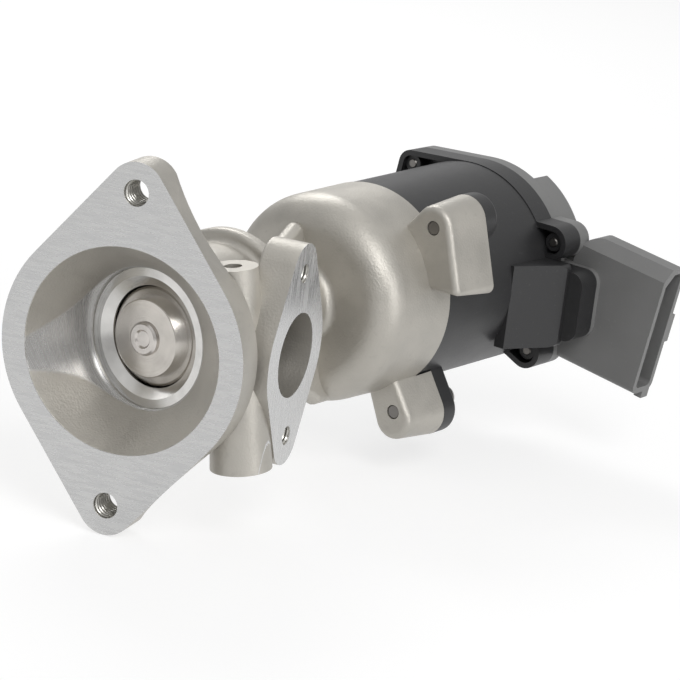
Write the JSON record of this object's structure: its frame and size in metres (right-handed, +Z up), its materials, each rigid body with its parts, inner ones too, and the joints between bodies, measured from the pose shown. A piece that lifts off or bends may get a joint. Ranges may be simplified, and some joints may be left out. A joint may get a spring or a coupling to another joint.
{
  "type": "exhaust gas recirculation valve",
  "caption": "Motor-driven poppet valve for exhaust gas, with an aluminium body, a bowl-shaped inlet flange, a side port flange and a plug socket.",
  "frame": {"origin": "centre of the bowl's mouth on the main flange's machined face, which is also the middle of its bolt line", "axes": "-X is the main flange's outward normal, +Z runs up its bolt line, and the side port's flange faces -Y; the valve axis lies in the X-Y plane, 15.6 degrees from +X towards -Y"},
  "size_m": [0.1729, 0.1371, 0.0972],
  "materials": {
    "cast_aluminium": "bead blasted casting",
    "polished_steel": "turned and polished",
    "steel": "ground",
    "dark_steel": "oiled",
    "spring_steel": "drawn wire",
    "bronze": "sintered",
    "black_plastic": "glass-filled moulding",
    "grey_plastic": "moulded",
    "rubber": "moulded",
    "green_rubber": "moulded",
    "magnet": "ground",
    "lamination": "stacked sheet",
    "copper": "enamelled wire",
    "board": "solder mask",
    "chip": "moulded",
    "tin": "tinned"
  },
  "bodies": {
    "housing": {"valve_body": "cast_aluminium", "seat_ring": "polished_steel", "stem_scraper": "steel", "stem_guide": "bronze", "stem_seal": "rubber", "thrust_plate": "steel", "motor_housing": "black_plastic", "housing_o_ring": "green_rubber", "lug_screws": "dark_steel", "front_bearing_outer_race": "steel", "front_bearing_balls": "steel", "stator_core": "lamination", "stator_coils": "copper", "bearing_bridge": "cast_aluminium", "rear_bearing_outer_race": "steel", "rear_bearing_balls": "steel", "circuit_board": "board", "sensor_chip": "chip", "terminals": "tin", "cover_seal": "green_rubber", "rear_cover": "grey_plastic", "cover_screws": "dark_steel", "return_spring": "spring_steel"},
    "rotor": {"rotor_shaft": "steel", "rotor_core": "lamination", "rotor_magnets": "magnet", "front_bearing_inner_race": "steel", "rear_bearing_inner_race": "steel", "magnet_carrier": "black_plastic", "sensor_magnet": "magnet"},
    "valve": {"valve_disc": "polished_steel", "valve_stem": "polished_steel", "stem_spacer": "steel", "spring_cup": "steel", "spindle": "steel"}
  },
  "joints": [
    {"name": "rotor_spin", "type": "hinge", "parent": "housing", "child": "rotor", "pos_m": [0.12367, -0.03012, 0], "axis": [0.9632, -0.2689, 0], "range_deg": [0, 180]},
    {"name": "valve_slide", "type": "slide", "parent": "housing", "child": "valve", "axis": [0.9632, -0.2689, 0], "range_m": [0, 0.006], "stiffness_N_per_m": 1500, "springref_m": -0.004, "deforming": ["return_spring"]}
  ],
  "couplings": [
    {"joint": "rotor_spin", "follows": "valve_slide", "rad_per_m": 523.6}
  ]
}
